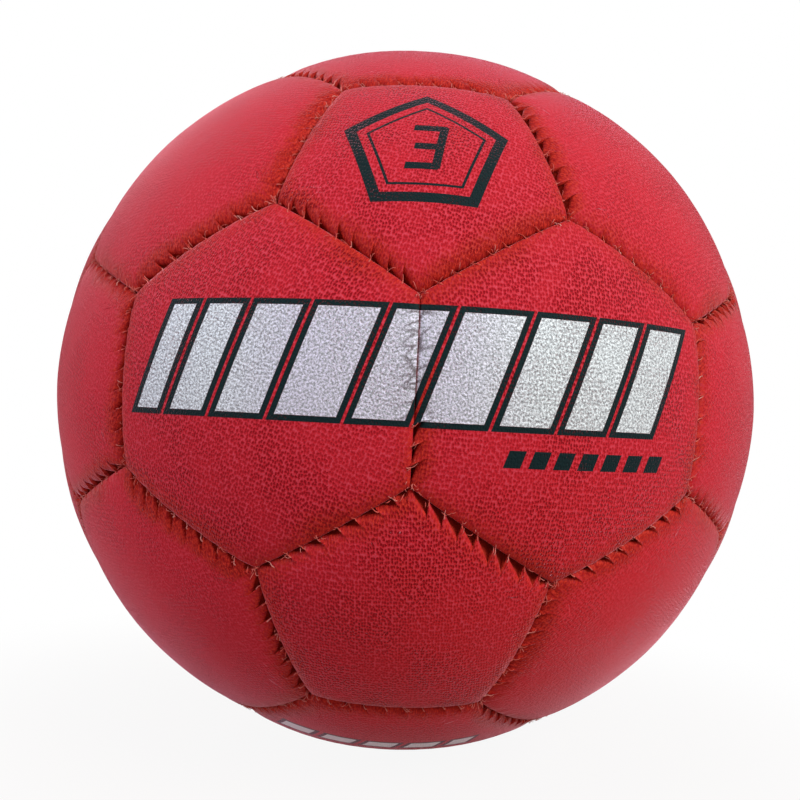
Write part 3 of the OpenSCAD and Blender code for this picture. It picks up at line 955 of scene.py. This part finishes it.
# The thread's crossings: radii of the two ends, how far they reach over the seam, how the thread leans and
# curls, and how it rises in the middle and dives at the ends
CROSSING_THICK, CROSSING_THIN, CROSSING_POWER, CROSSING_POINTS = 0.16, 0.04, 1.4, 10
START_REACH, END_REACH = (0.5, 1.1), (0.5, 1.5)
CROSSING_LEAN, CROSSING_CURL = (0.8, 1.5), 0.35
OVER_START, OVER_WIDTH = -0.4, 0.8
CROSSING_RISE, CROSSING_DIVE = 0.1, 0.5

# Loose fibres: radii along one, its sides, how far its root and it reach, the height of its root and arch,
# how many grow at a stitch and at a corner, and how far from it
FIBRE_RADII = (0.085, 0.08, 0.06, 0.03)
FIBRE_SIDES, FIBRE_SPREAD, FIBRE_REACH, FIBRE_ACROSS_SHARE = 4, 0.6, (0.8, 2.0), 0.7
FIBRE_ROOT_R, FIBRE_ARCH, FIBRE_BEND = 91.9, 1.25, 2.2
STITCH_FIBRES, STITCH_FIBRE_SHIFT = 3, 1.0
CORNER_FIBRES, CORNER_FIBRE_SHIFT = 3, (0.2, 1.6)

# How pale threads and fibres are at most, and how rare the pale ones are
CROSSING_PALE, STITCH_FIBRE_PALE, CORNER_FIBRE_PALE = (0.8, 3), (0.6, 2), (0.3, 1)


def tube(points, radii, sides=6):
    """A closed tube along a path: points, and faces of its sides and ends."""
    points = np.asarray(points, float)
    along = unit(np.gradient(points, axis=0))
    first = unit(np.cross(along, points))
    second = np.cross(along, first)
    turn = 2 * math.pi * np.arange(sides) / sides
    ring = first[:, None] * np.cos(turn)[:, None] + second[:, None] * np.sin(turn)[:, None]
    verts = points[:, None] + ring * np.asarray(radii)[:, None, None]
    count = len(points)
    index = np.arange(count * sides).reshape(count, sides)
    nxt = np.roll(index, -1, axis=1)
    quads = np.stack([index[:-1], nxt[:-1], nxt[1:], index[1:]], -1).reshape(-1, 4)
    return verts.reshape(-1, 3), [quads, index[0][::-1][None], index[-1][None]]


class Parts:
    """Several closed shapes gathered into one mesh, each with its own paleness."""

    def __init__(self):
        self.points, self.groups, self.pale, self.count = [], [], [], 0

    def add(self, shape, pale):
        points, groups = shape
        self.points.append(points)
        self.pale.append(np.full(len(points), float(pale)))
        self.groups += [g + self.count for g in groups]
        self.count += len(points)

    def made(self, name):
        return mesh_object(name, np.concatenate(self.points), self.groups,
                           floats=(("pale", np.concatenate(self.pale)),))


def seam_point(seam, along, side, radius):
    """A point by its places along and across a seam and its distance from the ball's middle."""
    angle = along / BALL_R
    direction = seam.middle * math.cos(angle) + seam.tangent * math.sin(angle)
    return unit(direction + seam.across * (side / BALL_R)) * radius


def crossing(seam, along, rng):
    """One crossing of the thread: a sliver over the seam, thicker at its lower end."""
    face = seam.toothed
    ends = -rng.uniform(*START_REACH), rng.uniform(*END_REACH)
    lean = seam.lean * rng.uniform(*CROSSING_LEAN)
    curl = rng.uniform(-CROSSING_CURL, CROSSING_CURL)
    points, radii = [], []
    for t in np.linspace(0, 1, CROSSING_POINTS):
        side = ends[0] + (ends[1] - ends[0]) * t
        over = float(smooth((side - OVER_START) / OVER_WIDTH))
        deepness = SMOOTH_DROP + (TOOTHED_DROP - SMOOTH_DROP) * over
        crest = BALL_R - roll(abs(side), deepness * seam.valley) - pillow(abs(side))
        crest += over * RIDGE_HEIGHT * max(0.0, 1 - abs(side) / RIDGE_REACH)
        crest += CROSSING_RISE * math.sin(math.pi * t) - CROSSING_DIVE * abs(2 * t - 1) ** 5
        place = along + (lean * side + curl * math.sin(math.pi * t)) * face
        points.append(seam_point(seam, place, side * face, crest))
        radii.append(CROSSING_THIN + (CROSSING_THICK - CROSSING_THIN) * t ** CROSSING_POWER)
    falls = points[0][2] > points[-1][2]
    return tube(points, radii if falls else radii[::-1])


def fuzz(seam, along, rng):
    """A loose fibre that arches out of the seam."""
    side = rng.uniform(-FIBRE_SPREAD, FIBRE_SPREAD)
    reach = rng.uniform(*FIBRE_REACH)
    turn = rng.uniform(0, 2 * math.pi)
    points = []
    for t in np.linspace(0, 1, len(FIBRE_RADII)):
        points.append(seam_point(seam, along + reach * t * math.cos(turn),
                                 side + reach * t * math.sin(turn) * FIBRE_ACROSS_SHARE,
                                 FIBRE_ROOT_R + FIBRE_ARCH * math.sin(t * FIBRE_BEND)))
    return tube(points, FIBRE_RADII, FIBRE_SIDES)


def paleness(rng, most, power):
    return rng.uniform(0, most) ** power


def add_runs(parts, seam):
    reach = seam.half - RUN_MARGIN
    for side in (-RUN_SIDE, RUN_SIDE):
        run = [seam_point(seam, s, side, RUN_R) for s in np.linspace(-reach, reach, RUN_POINTS)]
        parts.add(tube(run, [RUN_THREAD_R] * RUN_POINTS), RUN_PALE)


def add_stitch(parts, seam, cut):
    """The thread's crossing at one stitch, and a few fibres round it."""
    rng = seam.rng
    parts.add(crossing(seam, cut, rng), paleness(rng, *CROSSING_PALE))
    for _ in range(rng.integers(0, STITCH_FIBRES + 1)):
        place = cut + rng.uniform(-STITCH_FIBRE_SHIFT, STITCH_FIBRE_SHIFT)
        parts.add(fuzz(seam, place, rng), paleness(rng, *STITCH_FIBRE_PALE))


def add_corner_fibres(parts, seam, end):
    rng = seam.rng
    for _ in range(CORNER_FIBRES):
        place = end + math.copysign(rng.uniform(*CORNER_FIBRE_SHIFT), -end)
        parts.add(fuzz(seam, place, rng), paleness(rng, *CORNER_FIBRE_PALE))


def thread_object(name, seams):
    parts = Parts()
    for seam in seams:
        add_runs(parts, seam)
        for cut, gape in zip(seam.cuts[1:-1], seam.gape):
            if gape:
                add_stitch(parts, seam, cut)
        for end in (-seam.half, seam.half):
            add_corner_fibres(parts, seam, end)
    return parts.made(name)


PRINTS = {"hexagon_panel_09": "band", "hexagon_panel_15": "band",
          "pentagon_panel_04": "badge", "hexagon_panel_10": "low"}
VALVE_PANEL = "hexagon_panel_18"
PANEL_SEEDS = 50

# Front panels' middles lie before the first of these, and back panels' behind the second
FRONT_PANELS_Y, BACK_PANELS_Y = -0.8, -0.1
SIDE_CLARITY = 0.6


def grain_clarity(centre, rng):
    """How clearly a panel's grain shows: fully in front, less beside that, by chance at the back."""
    if centre[1] < FRONT_PANELS_Y:
        return 1.0
    return SIDE_CLARITY if centre[1] < BACK_PANELS_Y else rng.uniform(SIDE_CLARITY, 1.0)


def make_panels(materials):
    for kind, places, others, sides, tilt in (
            ("hexagon", HEXAGONS, PENTAGONS, 6, HEXAGON_TILT),
            ("pentagon", PENTAGONS, HEXAGONS, 5, PENTAGON_TILT)):
        for number, centre in enumerate(places, 1):
            node = f"{kind}_panel_{number:02d}"
            shape = PanelShape(centre, others, sides, tilt, number + PANEL_SEEDS * sides)
            shape.build(VALVE_HOLE_R if node == VALVE_PANEL else 0.0)
            points = np.concatenate(shape.verts)
            grain = shape.grain_space(points)
            floats = [(label, np.concatenate(values)) for label, values in shape.floats.items()]
            floats.append(("clear", np.full(len(points), grain_clarity(centre, shape.rng))))
            panel = mesh_object(f"leather_{kind}_{number:02d}", points, shape.faces, floats,
                                [("grain", grain)], np.concatenate(shape.slots))
            panel.data.materials.append(materials[PRINTS.get(node)])
            panel.data.materials.append(materials["rim"])
            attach(panel, "root")
            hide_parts(node)


def make_threads(material):
    between = {"hexagon_seam_thread": [], "pentagon_seam_thread": []}
    for seam in SEAMS.values():
        closest = np.max(PENTAGONS @ seam.middle)
        kind = "pentagon" if closest > math.cos(PENTAGON_TILT + ANGLE_SLACK) else "hexagon"
        between[f"{kind}_seam_thread"].append(seam)
    for node, seams in between.items():
        thread = thread_object(node.replace("_thread", "_stitches"), seams)
        thread.data.materials.append(material)
        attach(thread, "root")
        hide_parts(node)


# Rubbers: name, two greys, roughness, the grain's scale for each millimetre, and bump in millimetres
RUBBERS = {
    "bladder": ("butyl rubber", (0.03, 0.03, 0.03), (0.05, 0.05, 0.05), 0.55, 0.8, 0.05),
    "valve_body": ("valve rubber", (0.10, 0.10, 0.10), (0.14, 0.14, 0.14), 0.5, 1.5, 0.03),
    "valve_plug": ("plug rubber", (0.02, 0.02, 0.02), (0.04, 0.04, 0.04), 0.45, 1.5, 0.03),
}


def dress_cad_nodes():
    looks = {node: speckled_material(*values) for node, values in RUBBERS.items()}
    looks["hexagon_linings"] = looks["pentagon_linings"] = cloth_material("lining cloth")
    looks["valve_patch"] = looks["bladder"]
    for node, material in looks.items():
        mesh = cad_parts[node].data
        mesh.materials.clear()
        mesh.materials.append(material)


# Camera: distance in metres, turn of the ball before it in radians, lens and sensor in millimetres, shift
CAMERA_DISTANCE = 0.27166
CAMERA_TURN = np.array((-0.0215, 0.0530, 0.0208))
CAMERA_LENS, CAMERA_SENSOR = 42.7, 36
CAMERA_SHIFT = (-0.00625, 0.0004)
CAMERA_NEAR = 0.01

# Lamps: place and disk size in metres, watts and colour
LAMPS = (
    ("key lamp", (0.67, -0.73, 0.64), 0.6, 12.1, (1.0, 0.96, 0.92)),
    ("cool fill lamp", (-0.97, -0.28, 0.46), 0.8, 7.2, (0.87, 0.83, 1.0)),
    ("back lamp", (0.3, 1.25, 0.12), 0.8, 9.0, (1.0, 0.93, 0.84)),
)
WORLD_LIGHT = 0.34

# Floor: colour, half its size in metres, how white it is seen under the ball, and from where to where in
# millimetres it fades to pure white
FLOOR_GREY = (0.38, 0.26, 0.24)
FLOOR_REACH = 6.0
FLOOR_WHITE, FLOOR_FADE = 0.92, (105, 210)


def place_object(name, data, axes, place):
    """Adds a camera or lamp with these axes at this place."""
    made = new_object(name, data)
    rows = [[axis[i] for axis in axes] + [place[i]] for i in range(3)]
    made.matrix_world = Matrix(rows + [[0, 0, 0, 1]])
    return made


def make_camera():
    angle = float(np.linalg.norm(CAMERA_TURN))
    right, ahead, up = np.array(Matrix.Rotation(angle, 3, tuple(CAMERA_TURN / angle)))
    data = bpy.data.cameras.new("camera")
    data.lens = CAMERA_LENS
    data.sensor_width = CAMERA_SENSOR
    data.shift_x, data.shift_y = CAMERA_SHIFT
    data.clip_start = CAMERA_NEAR
    place = -ahead * CAMERA_DISTANCE
    bpy.context.scene.camera = place_object("camera", data, (right, up, -ahead), place)


def area_lamp(name, place, size, watts, colour):
    """A round lamp that faces the ball's middle."""
    data = bpy.data.lights.new(name, "AREA")
    data.shape = "DISK"
    data.size = size
    data.energy = watts
    data.color = colour
    z = unit(place)
    x = unit(np.cross((0.0, 0.0, 1.0), z))
    place_object(name, data, (x, np.cross(z, x), z), place)


def seen_rays(n):
    """1 for rays whose background a viewer sees: straight, mirrored or through glass."""
    rays = n.new("ShaderNodeLightPath").outputs
    seen = n.most(rays["Is Camera Ray"], rays["Is Glossy Ray"])
    return n.most(seen, rays["Is Transmission Ray"])


def make_world():
    n = Nodes(bpy.data.worlds.new("studio"), "Background")
    n.set(Color=(1, 1, 1), Strength=n.blend(seen_rays(n), WORLD_LIGHT, 1.0))
    bpy.context.scene.world = n.owner


def make_floor():
    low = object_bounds()[0][2]
    mesh = bpy.data.meshes.new("floor")
    turns = ((-1, -1), (1, -1), (1, 1), (-1, 1))
    mesh.from_pydata([(x * FLOOR_REACH, y * FLOOR_REACH, low) for x, y in turns], [], [(0, 1, 2, 3)])
    floor = new_object("floor", mesh)
    n = new_material("pale floor")
    n.set(Base_Color=FLOOR_GREY, Roughness=0.9, Specular_IOR_Level=0.1)
    far = n.vector("LENGTH", n.object_mm(), output="Value")
    shown = n.times(n.ramp(far, *FLOOR_FADE, FLOOR_WHITE, 1.0), seen_rays(n))
    glow = n.new("ShaderNodeEmission").outputs[0]
    mix = n.new("ShaderNodeMixShader", {0: shown, 1: n.shader.outputs[0], 2: glow})
    n.feed(n.tree.nodes["Material Output"].inputs["Surface"], mix.outputs[0])
    mesh.materials.append(n.owner)


def main():
    materials = {None: leather_material("red leather"),
                 "rim": rim_material("turned-in leather rim"),
                 "band": leather_material("red leather with a band of bars", band_print, creased=True),
                 "badge": leather_material("red leather with a numeral", badge_print),
                 "low": leather_material("red leather with low bars", low_print)}
    make_panels(materials)
    make_threads(thread_material("waxed thread"))
    dress_cad_nodes()
    make_camera()
    make_world()
    make_floor()
    for lamp in LAMPS:
        area_lamp(*lamp)
    bpy.context.scene.view_settings.view_transform = "Standard"


main()
